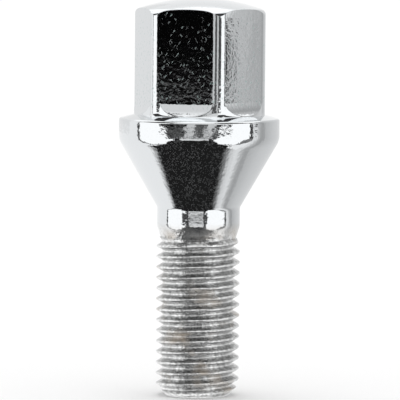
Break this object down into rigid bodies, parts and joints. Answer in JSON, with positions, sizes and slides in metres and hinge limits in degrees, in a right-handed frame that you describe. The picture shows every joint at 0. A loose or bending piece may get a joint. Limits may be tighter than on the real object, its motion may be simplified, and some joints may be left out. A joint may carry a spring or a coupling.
{
  "type": "wheel bolt",
  "caption": "Chrome-plated wheel bolt with a domed hexagon head, round collar, conical seat, plain neck and a right-hand threaded shank that screws into a hub.",
  "frame": {"origin": "centre of the flat end of the thread, which stands on the ground plane", "axes": "+Z along the bolt's axis from the tip to the domed head, -Y out of one flat of the hexagon"},
  "size_m": [0.0226, 0.0226, 0.0562],
  "materials": {
    "chrome_plate": "bright plated head and seat, slightly duller thread"
  },
  "bodies": {
    "root": {"wheel_bolt": "chrome_plate"}
  },
  "joints": []
}
